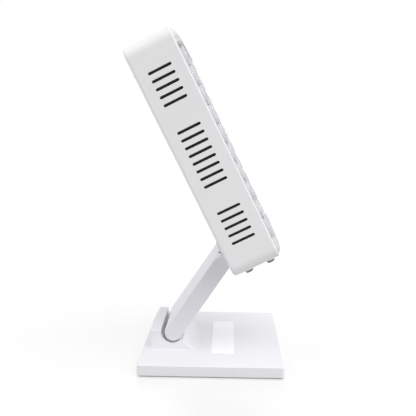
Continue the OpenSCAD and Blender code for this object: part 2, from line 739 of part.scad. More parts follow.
// Fans
fan_corner = 6;
strut_w = 4;
strut_t = 3;
mount_t = 4;
mount_r = 16;
hub_r = 15;
shaft_r = 1.5;
shaft_floor = 1;
rotor_gap = 0.6;
blade_root = 13;
blade_tip_gap = 2;
blade_w = 13;
blade_t = 1.6;
blade_turn = 35;
module at_fan(side) in_panel() translate([side * fan_x, fan_v, back_wall]) children();
module fan_frame(side) color("black") at_fan(side) difference() {
    union() {
        difference() {
            slab(fan_w, fan_w, fan_corner, 0, fan_d);
            rod(fan_bore, -over, fan_d + over);
        }
        rod(mount_r, 0, mount_t);
        for (a = [0, 90]) rotate([0, 0, a]) box(2 * fan_bore + over, strut_w, 0, strut_t);
    }
    rod(shaft_r + pin_run_fit, shaft_floor, mount_t + over);
    corners(fan_screw, fan_screw) rod(screw_r + thread_fit, -over, bite + over);
}
module fan_rotor(side) color("dimgray") at_fan(side) {
    blade_l = fan_bore - blade_tip_gap - blade_root;
    low = mount_t + rotor_gap;
    high = fan_d - rotor_gap;
    rod(hub_r, low, high);
    rod(shaft_r, shaft_floor, low + over);
    for (k = [0:fan_blades - 1]) rotate([0, 0, k * 360 / fan_blades])
        translate([blade_root + blade_l / 2, 0, (low + high) / 2])
            rotate([blade_turn, 0, 0]) cube([blade_l, blade_w, blade_t], center = true);
}
module fan_frame_left() fan_frame(-1);
module fan_frame_right() fan_frame(1);
module fan_rotor_left() fan_rotor(-1);
module fan_rotor_right() fan_rotor(1);
module fan_screws() color("silver") in_panel() at_fans()
    corners(fan_screw, fan_screw) screw(back_wall + bite);

// Power
tab_l = 7;
tab_t = 0.8;
tab_w = 6;
tab_x = 6;
tab_v = 5;
inlet_floor = 2.5;
inlet_wall = 1.6;
inlet_lip = 2;
inlet_flange = 2;
inlet_corner = 3;
socket_floor = socket_d - inlet_lip;
inlet_back = socket_floor + inlet_floor;
inlet_pin_w = 2;
inlet_pin_h = 4;
inlet_pin_x = 7;
inlet_pin_v = 2;
switch_lip = 1.5;
switch_flange = 1.5;
switch_corner = 2;
switch_back = 14;
switch_floor = 2;
tab_z = switch_back + tab_l;
trunnion_r = 1.2;
trunnion_l = 1.2;
// The rocker's section, from its axle: two raised ends, a dip between them, and a keel behind
rocker_axis = 2;
rocker_side_gap = 0.4;
rocker_end_gap = 1;
rocker_peak = 4.6;
rocker_dip = 3.6;
rocker_skirt = 2;
rocker_keel = 5;
keel_half = 2;
skirt_in = 1;
module power_supply() color("silver") in_panel() difference() {
    translate([supply_x, supply_v, 0]) box(supply_w, supply_h, back_wall, back_wall + supply_d);
    at_supply_screws() rod(screw_r + thread_fit, 0, back_wall + bite + over);
}
module power_supply_screws() color("silver") in_panel() at_supply_screws() screw(back_wall + bite);
module power_inlet() color("black") in_panel() translate([power_x, inlet_v, 0]) {
    difference() {
        union() {
            slab(inlet_w + 2 * inlet_flange, inlet_h + 2 * inlet_flange, inlet_corner, -inlet_lip, 0);
            box(inlet_w, inlet_h, -over, inlet_back);
        }
        box(inlet_w - 2 * inlet_wall, inlet_h - 2 * inlet_wall, -inlet_lip - over, socket_floor);
    }
    for (k = [-1:1]) {
        middle = k == 0 ? 1 : 0;
        translate([k * inlet_pin_x, (2 * middle - 1) * inlet_pin_v, 0])
            box(inlet_pin_w, inlet_pin_h, socket_floor - inlet_pin_l, inlet_back);
        translate([k * tab_x, middle * tab_v, 0]) box(tab_t, tab_w, inlet_back - over, tab_z);
    }
}
module switch_frame() color("black") in_panel() translate([power_x, switch_v, 0]) difference() {
    union() {
        slab(switch_w + 2 * switch_flange, switch_l + 2 * switch_flange, switch_corner, -switch_lip, 0);
        box(switch_w, switch_l, -over, switch_back);
        for (k = [-1, 1])
            translate([-k * tab_x, k * tab_v, 0]) box(tab_t, tab_w, switch_back - over, tab_z);
    }
    box(
        rocker_w + 2 * rocker_side_gap, rocker_l + 2 * rocker_end_gap,
        -switch_lip - over, switch_back - switch_floor
    );
    translate([0, 0, rocker_axis]) axle(trunnion_r + pin_run_fit, -switch_w, switch_w);
}
module rocker_switch() color("black") in_panel()
    translate([power_x, switch_v, rocker_axis]) rotate([-rocker_tilt, 0, 0]) {
        half = rocker_l / 2;
        across(rocker_w) polygon([
            [-half, -rocker_peak], [0, -rocker_dip], [half, -rocker_peak],
            [half - skirt_in, rocker_skirt], [keel_half, rocker_keel],
            [-keel_half, rocker_keel], [skirt_in - half, rocker_skirt]
        ]);
        axle(trunnion_r, -rocker_w / 2 - trunnion_l, rocker_w / 2 + trunnion_l);
    }

// Wires
wire_r = wire_t / 2;
wire_from_tip = 2;
wire_z = tab_z - wire_from_tip;
fan_wire_side = 12;
module lead(from, length, turn) translate(from) rotate(turn) cylinder(r = wire_r, h = length);
module mains_wires() color("saddlebrown") in_panel() {
    supply_right = supply_x + supply_w / 2;
    reach = power_x - tab_x - tab_t / 2 - supply_right;
    for (v = [inlet_v, switch_v + tab_v])
        lead([supply_right, v, wire_z], reach, [0, 90, 0]);
    // From the inlet's outer tab to the switch's outer tab
    from_v = inlet_v + tab_w / 2;
    to_v = switch_v - tab_v - tab_w / 2;
    lead([power_x + tab_x, from_v, wire_z], to_v - from_v, [-90, 0, 0]);
}
module lamp_wires()
    color("red") in_panel() at_lamp_wires() rod(wire_r, back_wall + supply_d, board_z0);
module fan_wires() color("gold") in_panel() {
    supply_top = supply_v + supply_h / 2;
    reach = fan_v - fan_w / 2 - supply_top;
    for (x = [-fan_x, fan_x - fan_w / 2 + fan_wire_side])
        lead([x, supply_top, back_wall + fan_d / 2], reach, [-90, 0, 0]);
}

base_shell();
base_ballast();
base_cover();
base_cover_screws();
anti_slip_mat();
hinge_block();
hinge_block_screws();
base_hinge_ears();
arm_body();
arm_cover();
arm_cover_screws();
lower_hinge_pin();
upper_hinge_pin();
pin_caps();
lower_friction_washers();
upper_friction_washers();
rear_housing();
panel_hinge_block();
panel_hinge_ears();
bracket_screws();
front_frame();
front_screws();
lens_plate();
lens_gasket();
led_board();
led_chips();
led_board_screws();
heat_sink();
heat_sink_posts();
heat_sink_screws();
post_screws();
fan_frame_left();
fan_frame_right();
fan_rotor_left();
fan_rotor_right();
fan_screws();
power_supply();
power_supply_screws();
power_inlet();
switch_frame();
rocker_switch();
vent_screens();
mains_wires();
lamp_wires();
fan_wires();
panel_feet();
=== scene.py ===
"""Red light therapy panel on a folding table stand: its finishes, its fine detail and its studio."""
import json
import math

import bmesh
import bpy
from mathutils import Matrix, Vector

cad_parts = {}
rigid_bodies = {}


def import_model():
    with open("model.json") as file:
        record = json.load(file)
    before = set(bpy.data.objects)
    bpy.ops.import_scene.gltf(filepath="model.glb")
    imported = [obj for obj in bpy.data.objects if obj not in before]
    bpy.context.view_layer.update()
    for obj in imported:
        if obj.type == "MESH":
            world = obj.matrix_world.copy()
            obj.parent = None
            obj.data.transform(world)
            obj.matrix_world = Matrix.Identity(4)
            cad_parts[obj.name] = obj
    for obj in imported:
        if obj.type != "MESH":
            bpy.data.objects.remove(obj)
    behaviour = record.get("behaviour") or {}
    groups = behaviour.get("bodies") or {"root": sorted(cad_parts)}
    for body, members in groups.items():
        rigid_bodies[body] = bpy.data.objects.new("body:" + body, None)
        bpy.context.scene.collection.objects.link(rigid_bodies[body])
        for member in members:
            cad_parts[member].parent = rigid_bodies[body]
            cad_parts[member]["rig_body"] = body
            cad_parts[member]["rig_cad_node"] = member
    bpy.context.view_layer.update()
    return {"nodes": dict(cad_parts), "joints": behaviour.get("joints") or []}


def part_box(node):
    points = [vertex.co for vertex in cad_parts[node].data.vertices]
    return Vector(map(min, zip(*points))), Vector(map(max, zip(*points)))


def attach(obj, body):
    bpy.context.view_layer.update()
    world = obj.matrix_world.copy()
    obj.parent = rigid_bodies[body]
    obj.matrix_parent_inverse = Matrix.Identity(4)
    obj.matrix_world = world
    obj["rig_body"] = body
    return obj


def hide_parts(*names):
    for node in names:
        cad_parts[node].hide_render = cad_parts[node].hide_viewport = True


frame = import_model()

MM = 0.001
NODES = frame["nodes"]
JOINTS = {joint["name"]: joint for joint in frame["joints"]}

# Camera
CAMERA_PLACE = (-723.85 * MM, -22.02 * MM, 308.09 * MM)
CAMERA_YAW = 0.0395
CAMERA_PITCH = 0.1495
CAMERA_LENS = 46.11
CAMERA_SENSOR = 36

# Light and stage
WORLD_LIGHT = 0.47
BACKGROUND_WHITE = 1.0
LAMP_SPREAD = math.radians(70)
# The way to each lamp, and its strength
LAMPS = (
    ((-0.7, -0.9, 1.4), 1.58),
    ((-0.3, 1.5, 1), 1.1),
    ((-0.2, -1, 0.4), 0.6),
)
FLOOR_SIZE = 12
FLOOR_DROP = 0.2 * MM
FLOOR_TONE = (0.34, 0.34, 0.34)
FLOOR_GLOW = 0.485
FLOOR_IOR = 2.5
FLOOR_BLUR = 0.33

# Merging and softening
MERGE = 0.002 * MM
FLAT_ANGLE = math.radians(0.3)
SHARP_ANGLE = math.radians(30)
SMOOTH_ANGLE = math.radians(32)
NEAR = 0.02 * MM
FACING = 0.9

# Base
BASE_CORNER = 4 * MM
BASE_WALL = 2.4 * MM
BASE_TOP_EDGE = 0.9 * MM
BASE_LOW_EDGE = 0.4 * MM
LABEL_MIDDLE = (-2 * MM, -15 * MM)
LABEL_SIZE = (118 * MM, 30 * MM)
LABEL_THICK = 0.15 * MM
LABEL_CORNER = 1.5 * MM

# Hinge blocks and arm
BLOCK_EDGE = 0.8 * MM
COVER_EDGE = 0.4 * MM
CAP_EDGE = 0.5 * MM

# Panel
PANEL_CORNER = 15 * MM
RIM_ROUND = 2.2 * MM
RIM_INNER = 0.3 * MM
VENT_EDGE = 0.35 * MM
GRILLE_EDGE = 0.3 * MM
FRAME_EDGE = 0.5 * MM
FRAME_MARGIN = 3 * MM
SCREW_CLEAR = 4.5 * MM
LENS_CROWN = 1.2 * MM
LENS_EDGE = 0.8 * MM

# Screws
SCREW_SIDES = 28
HEAD_RADIUS = 2.9 * MM
HEAD_HEIGHT = 2 * MM
HEAD_DOME = 0.8 * MM
SUNK_HEIGHT = 1.4 * MM
SHANK_RADIUS = 1.5 * MM
CROSS_LONG = 3.4 * MM
CROSS_WIDE = 0.75 * MM
CROSS_DEEP = 1 * MM

# Feet of the panel
FOOT_SIDES = 48
FOOT_RADIUS = 5.25 * MM
FOOT_HEIGHT = 4 * MM
FOOT_COLLAR = 1.8 * MM
FOOT_STEP = 0.35 * MM
FOOT_EDGE = 0.9 * MM
FOOT_RING = 1.6 * MM
FOOT_DIMPLE = 0.6 * MM
STEM_RADIUS = 2 * MM
STEM_LENGTH = 2.2 * MM
BARB_LENGTH = 1 * MM
BARB_GROWTH = 1.5

# LED emitters
EMITTER_BODY = 0.7 * MM
EMITTER_CORNER = 0.5 * MM
EMITTER_EDGE = 0.15 * MM
GEL_SIDES = 14
GEL_RINGS = 8
GEL_RADIUS = 1.9 * MM
GEL_HEIGHT = 0.5 * MM

# Power inlet and switch
SOCKET_FLOOR = 13.5 * MM
SOCKET_TAIL = 16.2 * MM
SOCKET_HALF = (11 * MM, 7 * MM)
PLATE_EDGE = 0.5 * MM
ROCKER_EDGE = 0.5 * MM
MARK_LENGTH = 3.4 * MM
MARK_WIDTH = 0.7 * MM
MARK_CORNER = MARK_WIDTH / 3
MARK_HEIGHT = 0.12 * MM
RING_RADIUS = 1.5 * MM
RING_SIDES = 32
RING_FACETS = 6


# Frames of the arm and the panel, taken from the joints
ACROSS = Vector((1, 0, 0))
BASE_PIVOT = Vector(JOINTS["base_hinge"]["pos_m"])
PANEL_PIVOT = Vector(JOINTS["panel_hinge"]["pos_m"])
PANEL_FRONT = Vector(JOINTS["left_fan_spin"]["axis"]).normalized()
PANEL_UP = PANEL_FRONT.cross(ACROSS)
ARM_ALONG = (PANEL_PIVOT - BASE_PIVOT).normalized()
ARM_BACK = ARM_ALONG.cross(ACROSS)


def reach(node, direction):
    """The lowest and highest place of a CAD node along a direction."""
    places = [direction.dot(vertex.co) for vertex in NODES[node].data.vertices]
    return min(places), max(places)


def axes(right, up, front, origin):
    """The matrix of a frame with these axes at this origin."""
    turn = Matrix((right, up, front)).transposed().to_4x4()
    return Matrix.Translation(origin) @ turn


PANEL_DEPTH = reach("rear_housing", PANEL_FRONT)
PANEL_RISE = reach("rear_housing", PANEL_UP)
PANEL_ORIGIN = PANEL_FRONT * PANEL_DEPTH[0] + PANEL_UP * sum(PANEL_RISE) / 2
IN_PANEL = axes(ACROSS, PANEL_UP, PANEL_FRONT, PANEL_ORIGIN)
IN_ARM = axes(ACROSS, ARM_ALONG, -ARM_BACK, BASE_PIVOT)
AS_BUILT = Matrix.Identity(4)
RIM_DEPTH = PANEL_DEPTH[1] - PANEL_DEPTH[0]
PANEL_HEIGHT = PANEL_RISE[1] - PANEL_RISE[0]
PANEL_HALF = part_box("rear_housing")[1].x


# Shader nodes

class Socket:
    """An output of a shader node. Arithmetic on sockets adds Math nodes."""

    def __init__(self, shader, output):
        self.shader = shader
        self.output = output

    def math(self, operation, first, second):
        """Adds a Math node."""
        return self.shader.node("ShaderNodeMath", {"operation": operation}, {0: first, 1: second})

    def __add__(self, other):
        return self.math("ADD", self, other)

    def __sub__(self, other):
        return self.math("SUBTRACT", self, other)

    def __rsub__(self, other):
        return self.math("SUBTRACT", other, self)

    def __mul__(self, other):
        return self.math("MULTIPLY", self, other)

    __radd__ = __add__
    __rmul__ = __mul__


class Shader:
    """The node tree of a material or of the world."""

    def __init__(self, owner):
        owner.use_nodes = True
        self.tree = owner.node_tree

    def node(self, kind, settings, inputs, output=0):
        """Adds a node: its settings first, then the values or links of its inputs."""
        node = self.tree.nodes.new(kind)
        for name, value in settings.items():
            setattr(node, name, value)
        for name, value in inputs.items():
            self.link(node.inputs[name], value)
        return Socket(self, node.outputs[output])

    def link(self, target, value):
        """Sets an input to a value, or links it to a socket."""
        if isinstance(value, Socket):
            self.tree.links.new(value.output, target)
        elif isinstance(value, tuple) and len(value) == 3 and target.type == "RGBA":
            target.default_value = (*value, 1)
        else:
            target.default_value = value

    def mix(self, amount, first, second):
        """A colour between two colours, by the Mix node's colour sockets."""
        settings = {"data_type": "RGBA"}
        return self.node("ShaderNodeMix", settings, {0: amount, 6: first, 7: second}, 2)


class Finish(Shader):
    """A material with one Principled surface."""

    def __init__(self, name, **constants):
        self.material = bpy.data.materials.new(name)
        super().__init__(self.material)
        self.surface = self.tree.nodes["Principled BSDF"]
        for socket, value in constants.items():
            self.set(socket.replace("_", " "), value)

    def set(self, socket, value):
        """Sets or links an input of the surface."""
        self.link(self.surface.inputs[socket], value)

    def place(self, stretch=(1, 1, 1)):
        """Object coordinates, stretched or as they are."""
        spot = self.node("ShaderNodeTexCoord", {}, {}, "Object")
        if stretch == (1, 1, 1):
            return spot
        return self.node("ShaderNodeMapping", {}, {"Vector": spot, "Scale": stretch})

    def noise(self, size, detail, place=None):
        """Soft noise whose patches are about this size, in metres."""
        inputs = {"Vector": place or self.place(), "Scale": 1 / size, "Detail": detail}
        return self.node("ShaderNodeTexNoise", {}, inputs)

    def bump(self, height, depth, strength):
        """Raises the surface by a height from 0 to 1, over a depth in metres."""
        inputs = {"Height": height, "Distance": depth, "Strength": strength}
        self.set("Normal", self.node("ShaderNodeBump", {}, inputs))


# Finishes

def toned(tone, factor, lift=0):
    """A tone made paler or darker."""
    return tuple(factor * part + lift for part in tone)


def moulded_white(name, tone, roughness=0.42):
    """Satin white plastic: a fine moulded grain, and a faint drift of tone over a hand's width."""
    finish = Finish(name, IOR=1.47)
    drift = finish.noise(size=70 * MM, detail=3)
    grain = finish.noise(size=0.55 * MM, detail=2)
    shaded = toned(tone, 0.965)
    finish.set("Base Color", finish.mix(drift, shaded, tone))
    finish.set("Roughness", roughness - 0.06 + 0.12 * grain)
    finish.bump(grain, depth=0.02 * MM, strength=0.25)
    return finish.material


def rubber(name, tone, grain):
    """Matt rubber with a dusty, pebbled skin."""
    finish = Finish(name, IOR=1.5)
    pebble = finish.noise(size=grain, detail=3)
    dust = finish.noise(size=18 * MM, detail=4)
    pale = toned(tone, 1.35, lift=0.01)
    finish.set("Base Color", finish.mix(dust, tone, pale))
    finish.set("Roughness", 0.72 + 0.2 * pebble)
    finish.bump(pebble, depth=0.08 * MM, strength=0.5)
    return finish.material


def brushed_metal(name, tone, roughness, stretch=(1, 1, 1)):
    """Metal with fine drawn lines. A small stretch along an axis makes them long on that axis."""
    finish = Finish(name, Metallic=1.0)
    lines = finish.noise(size=0.5 * MM, detail=3, place=finish.place(stretch))
    stain = finish.noise(size=12 * MM, detail=3)
    dull = toned(tone, 0.8)
    finish.set("Base Color", finish.mix(stain * 0.6 + lines * 0.3, tone, dull))
    finish.set("Roughness", roughness + 0.18 * lines)
    finish.bump(lines, depth=0.01 * MM, strength=0.4)
    return finish.material


def lens_acrylic(name, clearness, roughness):
    """Lens plastic, polished or frosted, with a faint moulded ripple."""
    finish = Finish(name, IOR=1.49, Transmission_Weight=clearness)
    ripple = finish.noise(size=6 * MM, detail=3)
    finish.set("Base Color", finish.mix(ripple, (0.9, 0.9, 0.93), (0.82, 0.82, 0.86)))
    finish.set("Roughness", roughness + 0.1 * ripple)
    finish.bump(ripple, depth=0.05 * MM, strength=0.2)
    return finish.material


def solder_mask(name):
    """White circuit board: copper tracks show as faint raised bands between the emitters."""
    finish = Finish(name, IOR=1.5)
    across = finish.node(
        "ShaderNodeTexWave", {"bands_direction": "X"}, {"Vector": finish.place(), "Scale": 11}
    )
    speck = finish.noise(size=1.2 * MM, detail=3)
    finish.set("Base Color", finish.mix(across * 0.5, (0.84, 0.85, 0.84), (0.76, 0.78, 0.77)))
    finish.set("Roughness", 0.3 + 0.15 * speck)
    finish.bump(across, depth=0.05 * MM, strength=0.4)
    return finish.material


def black_moulding(name, tone, roughness):
    """Black engineering plastic with a spark-eroded grain."""
    finish = Finish(name, IOR=1.5)
    grain = finish.noise(size=0.4 * MM, detail=2)
    bloom = finish.noise(size=15 * MM, detail=3)
    pale = toned(tone, 1.5)
    finish.set("Base Color", finish.mix(bloom, tone, pale))
    finish.set("Roughness", roughness + 0.15 * grain)
    finish.bump(grain, depth=0.03 * MM, strength=0.4)
    return finish.material


def dust_mesh(name):
    """Woven black screen: a grid of fine threads with dark gaps."""
    finish = Finish(name, IOR=1.45)
    place = finish.place()
    weave = [
        finish.node(
            "ShaderNodeTexWave", {"bands_direction": axis}, {"Vector": place, "Scale": 260}
        )
        for axis in ("Y", "Z")
    ]
    thread = weave[0] * 0.5 + weave[1] * 0.5
    finish.set("Base Color", finish.mix(thread, (0.002, 0.002, 0.002), (0.016, 0.016, 0.017)))
    finish.set("Roughness", 0.95 - 0.2 * thread)
    finish.bump(thread, depth=0.2 * MM, strength=0.8)
    return finish.material


def wire_sleeve(name, tone):
    """PVC wire insulation, lightly scuffed."""
    finish = Finish(name, IOR=1.52)
    scuff = finish.noise(size=3 * MM, detail=4)
    worn = toned(tone, 0.75)
    finish.set("Base Color", finish.mix(scuff, tone, worn))
    finish.set("Roughness", 0.3 + 0.25 * scuff)
    finish.bump(scuff, depth=0.02 * MM, strength=0.3)
    return finish.material


def emitter_ceramic(name):
    """Glazed white ceramic of an LED package."""
    finish = Finish(name, IOR=1.6)
    glaze = finish.noise(size=0.8 * MM, detail=2)
    finish.set("Base Color", finish.mix(glaze, (0.86, 0.85, 0.8), (0.78, 0.76, 0.7)))
    finish.set("Roughness", 0.25 + 0.2 * glaze)
    return finish.material


def emitter_gel(name):
    """Amber silicone over the die."""
    finish = Finish(name, IOR=1.41, Coat_Weight=0.5)
    cloud = finish.noise(size=0.9 * MM, detail=2)
    finish.set("Base Color", finish.mix(cloud, (0.82, 0.52, 0.2), (0.7, 0.34, 0.12)))
    finish.set("Roughness", 0.12 + 0.1 * cloud)
    return finish.material


def blank_paper(name):
    """Coated label stock with nothing printed on it."""
    finish = Finish(name, IOR=1.5)
    fibre = finish.noise(size=0.7 * MM, detail=4)
    finish.set("Base Color", finish.mix(fibre, (0.99, 0.99, 1.0), (0.97, 0.97, 0.98)))
    finish.set("Roughness", 0.32 + 0.12 * fibre)
    finish.bump(fibre, depth=0.01 * MM, strength=0.3)
    return finish.material


PANEL_WHITE = moulded_white("satin_white_panel", (0.85, 0.85, 0.863))
# The arm's white is the base's white made darker, as painted shade from the panel above; the pin caps
# and the panel's hinge block share it. Its tint is the moulding's own.
ARM_WHITE_PAINTED_SHADE = moulded_white("satin_white_arm_painted_shade", (0.76, 0.754, 0.796))
BASE_WHITE = moulded_white("satin_white_base", (0.85, 0.845, 0.878))
COVER_WHITE = moulded_white("matt_white_cover", (0.74, 0.74, 0.75), roughness=0.55)
MAT_RUBBER = rubber("anti_slip_rubber", (0.02, 0.02, 0.021), grain=1.1 * MM)
# The foot pad's dark tone is rubber and, in part, painted shade on the foot's lower end.
FOOT_RUBBER_AND_PAINTED_SHADE = rubber("foot_rubber", (0.16, 0.16, 0.165), grain=0.8 * MM)
FOOT_COLLAR_GREY = moulded_white("pale_grey_foot_collar", (0.6, 0.6, 0.615), roughness=0.5)
GASKET_SILICONE = rubber("white_gasket_silicone", (0.5, 0.5, 0.5), grain=1.5 * MM)
BALLAST_STEEL = brushed_metal("rolled_ballast_steel", (0.3, 0.3, 0.31), 0.5, stretch=(1, 0.05, 1))
HINGE_STEEL = brushed_metal("ground_hinge_steel", (0.5, 0.5, 0.52), 0.32, stretch=(0.05, 1, 1))
SCREW_STEEL = brushed_metal("zinc_plated_steel", (0.66, 0.66, 0.68), 0.28)
WASHER_BRASS = brushed_metal("turned_brass", (0.72, 0.56, 0.28), 0.3)
CLEAR_LENS = lens_acrylic("clear_lens_acrylic", clearness=0.9, roughness=0.05)
FROSTED_LENS = lens_acrylic("frosted_lens_acrylic", clearness=0.2, roughness=0.3)
BOARD_WHITE = solder_mask("white_solder_mask")
CERAMIC = emitter_ceramic("emitter_ceramic")
GEL = emitter_gel("emitter_gel")
ALUMINIUM = brushed_metal("extruded_aluminium", (0.7, 0.71, 0.72), 0.38, stretch=(1, 0.05, 0.05))
BLACK_PLASTIC = black_moulding("black_fan_plastic", (0.02, 0.02, 0.021), roughness=0.45)
ROCKER_BLACK = black_moulding("black_rocker_plastic", (0.014, 0.014, 0.015), roughness=0.25)
SCREEN_BLACK = dust_mesh("black_dust_screen")
MAINS_BROWN = wire_sleeve("brown_mains_sleeve", (0.2, 0.09, 0.04))
LAMP_RED = wire_sleeve("red_lamp_sleeve", (0.55, 0.03, 0.03))
FAN_YELLOW = wire_sleeve("yellow_fan_sleeve", (0.7, 0.52, 0.06))
MARK_WHITE = moulded_white("white_switch_mark", (0.85, 0.85, 0.85), roughness=0.5)
LABEL = blank_paper("blank_label_paper")


# Modelling by hand

def only(piece):
    """Selects one piece and nothing else."""
    bpy.ops.object.select_all(action="DESELECT")
    piece.select_set(True)
    bpy.context.view_layer.objects.active = piece


def made(name):
    """Names the new primitive and puts its place and size in its mesh."""
    piece = bpy.context.active_object
    piece.name = name
    bpy.ops.object.transform_apply(location=True, rotation=True, scale=True)
    return piece


def block(name, low, high):
    """A box between two corners."""
    low = Vector(low)
    high = Vector(high)
    bpy.ops.object.select_all(action="DESELECT")
    bpy.ops.mesh.primitive_cube_add(size=1, location=(low + high) / 2, scale=high - low)
    return made(name)


def round_bar(name, low_radius, high_radius, low, high, sides):
    """A round bar on the Z axis, straight or tapered."""
    bpy.ops.object.select_all(action="DESELECT")
    bpy.ops.mesh.primitive_cone_add(
        vertices=sides, radius1=low_radius, radius2=high_radius, depth=high - low,
        location=(0, 0, (low + high) / 2),
    )
    return made(name)


def open_mesh(piece, mode):
    """Opens a piece in edit mode with nothing selected."""
    only(piece)
    bpy.ops.object.mode_set(mode="EDIT")
    bpy.ops.mesh.select_mode(type=mode)
    bpy.ops.mesh.select_all(action="DESELECT")
    return bmesh.from_edit_mesh(piece.data)


def close_mesh():
    """Leaves edit mode."""
    bpy.ops.object.mode_set(mode="OBJECT")


def weld():
    """Selects the whole open mesh and joins its points that lie in one place."""
    bpy.ops.mesh.select_all(action="SELECT")
    bpy.ops.mesh.remove_doubles(threshold=MERGE)


def soften(piece, width, wanted, steps=3, at=AS_BUILT):
    """Rounds the sharp edges whose two ends are wanted, given in a frame's own places."""
    mesh = open_mesh(piece, "EDGE")
    inward = at.inverted()
    for edge in mesh.edges:
        sharp = len(edge.link_faces) == 2 and edge.calc_face_angle() > SHARP_ANGLE
        if sharp and wanted(*(inward @ vertex.co for vertex in edge.verts)):
            edge.select_set(True)
    bmesh.update_edit_mesh(piece.data)
    bpy.ops.mesh.bevel(
        offset=width, segments=steps, profile=0.5, affect="EDGES", clamp_overlap=False,
        loop_slide=False,
    )
    weld()
    close_mesh()


def open_faces(piece, wanted):
    """Opens a piece with those faces selected whose middle and normal are wanted."""
    mesh = open_mesh(piece, "FACE")
    for face in mesh.faces:
        if wanted(face.calc_center_median(), face.normal):
            face.select_set(True)
    bmesh.update_edit_mesh(piece.data)


def extrude(distance):
    """Extrudes the selected faces along Z."""
    bpy.ops.mesh.extrude_region_move(TRANSFORM_OT_translate={"value": (0, 0, distance)})


def upright(first, second):
    """An edge that climbs."""
    return abs(first.z - second.z) > NEAR


def both_ends(wanted):
    """Edges whose ends are each wanted by themselves."""
    return lambda first, second: wanted(first) and wanted(second)


def at_height(height):
    """Edges that lie at a height."""
    return both_ends(lambda place: abs(place.z - height) < NEAR)


def modify(piece, kind, **settings):
    """Adds a modifier and applies it."""
    only(piece)
    modifier = piece.modifiers.new(kind.lower(), kind)
    for name, value in settings.items():
        setattr(modifier, name, value)
    bpy.ops.object.modifier_apply(modifier=modifier.name)


def smooth(piece):
    """Smooth shading that keeps hard edges, with flat faces left flat."""
    only(piece)
    bpy.ops.object.shade_smooth_by_angle(angle=SMOOTH_ANGLE)
    modify(piece, "WEIGHTED_NORMAL", keep_sharp=True)


def merged_copy(node, name):
    """A copy of a CAD node with its triangles joined into whole faces."""
    only(NODES[node])
    bpy.ops.object.duplicate()
    piece = bpy.context.active_object
    piece.name = name
    piece.parent = None
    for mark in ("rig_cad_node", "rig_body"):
        del piece[mark]
    piece.data.materials.clear()
    bpy.ops.object.mode_set(mode="EDIT")
    weld()
    bpy.ops.mesh.dissolve_limited(angle_limit=FLAT_ANGLE)
    close_mesh()
    return piece


def stands_for(piece, node, slot, *materials):
    """Dresses a piece and puts it in a CAD node's place."""
    for material in materials:
        piece.data.materials.append(material)
    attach(piece, NODES[node]["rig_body"])
    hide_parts(node)


def added(piece, body, material):
    """Dresses a piece that no CAD node holds."""
    piece.data.materials.append(material)
    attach(piece, body)


def second_finish(piece, wanted, at=AS_BUILT):
    """Gives a piece's second material to the faces whose middle is wanted, in a frame's own places."""
    inward = at.inverted()
    for face in piece.data.polygons:
        if wanted(inward @ face.center):
            face.material_index = 1


def solids(node):
    """The separate solids of a CAD node, each as a list of its vertices' places."""
    mesh = bmesh.new()
    mesh.from_mesh(NODES[node].data)
    bmesh.ops.remove_doubles(mesh, verts=mesh.verts, dist=MERGE)
    seen = set()
    found = []
    for start in mesh.verts:
        if start in seen:
            continue
        group = {start}
        reached = {start}
        while reached:
            reached = {edge.other_vert(vertex) for vertex in reached for edge in vertex.link_edges}
            reached -= group
            group |= reached
        seen |= group
        found.append([vertex.co.copy() for vertex in group])
    mesh.free()
    return found


def span(points, at):
    """The corners of points in a frame's own places."""
    inward = at.inverted()
    inside = [inward @ point for point in points]
    low = Vector(min(point[k] for point in inside) for k in range(3))
    high = Vector(max(point[k] for point in inside) for k in range(3))
    return low, high


def set_at(piece, matrix):
    """A copy of a piece, with its own mesh, carried to a frame."""
    only(piece)
    bpy.ops.object.duplicate()
    copy = bpy.context.active_object
    copy.data.transform(matrix)
    return copy


def joined(pieces, name):
    """Joins pieces into one."""
    bpy.ops.object.select_all(action="DESELECT")
    for piece in pieces:
        piece.select_set(True)
    bpy.context.view_layer.objects.active = pieces[0]
    bpy.ops.object.join()
    pieces[0].name = name
    return pieces[0]


def discard(piece):
    """Removes a pattern once it has been copied."""
    only(piece)
    bpy.ops.object.delete()


def copies_for(node, pattern, outward, lift):
    """Copies of a pattern on every solid of a CAD node. The pattern's Z points outward, and its
    zero lies this far in from the solid's outer end."""
    turn = axes(ACROSS, outward.cross(ACROSS), outward, Vector())
    copies = []
    for points in solids(node):
        low, high = span(points, turn)
        middle = (low + high) / 2
        middle.z = high.z - lift
        copies.append(set_at(pattern, turn @ Matrix.Translation(middle)))
    discard(pattern)
    return copies


# Pieces of the base

def make_base_shell():
    """The base's moulded shell: rounded corners, softened edges and an open underside."""
    low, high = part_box("base_shell")
    piece = block("base_shell_moulding", low, high)
    soften(piece, BASE_CORNER, upright, steps=8)
    soften(piece, BASE_TOP_EDGE, at_height(high.z), steps=4)
    soften(piece, BASE_LOW_EDGE, at_height(low.z), steps=2)
    open_faces(piece, lambda middle, normal: normal.z < -FACING and abs(middle.z - low.z) < NEAR)
    bpy.ops.mesh.inset(thickness=BASE_WALL - BASE_LOW_EDGE)
    extrude(high.z - low.z - BASE_WALL)
    close_mesh()
    smooth(piece)
    stands_for(piece, "base_shell", "white_shell", BASE_WHITE)


def make_label():
    """A blank label on the base's top."""
    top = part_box("base_shell")[1].z
    half = Vector((LABEL_SIZE[0] / 2, LABEL_SIZE[1] / 2, 0))
    middle = Vector((*LABEL_MIDDLE, top))
    piece = block("blank_label", middle - half, middle + half + Vector((0, 0, LABEL_THICK)))
    soften(piece, LABEL_CORNER, upright, steps=5)
    smooth(piece)
    added(piece, "base", LABEL)


def make_hinge_block():
    """The base's hinge block, with softened ends."""
    low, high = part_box("hinge_block")
    piece = merged_copy("hinge_block", "hinge_block_moulding")

    def on_end(place):
        return abs(abs(place.x) - high.x) < NEAR and place.z > low.z + NEAR

    soften(piece, BLOCK_EDGE, both_ends(on_end))
    smooth(piece)
    stands_for(piece, "hinge_block", "white_shell", BASE_WHITE)


# Pieces of the arm

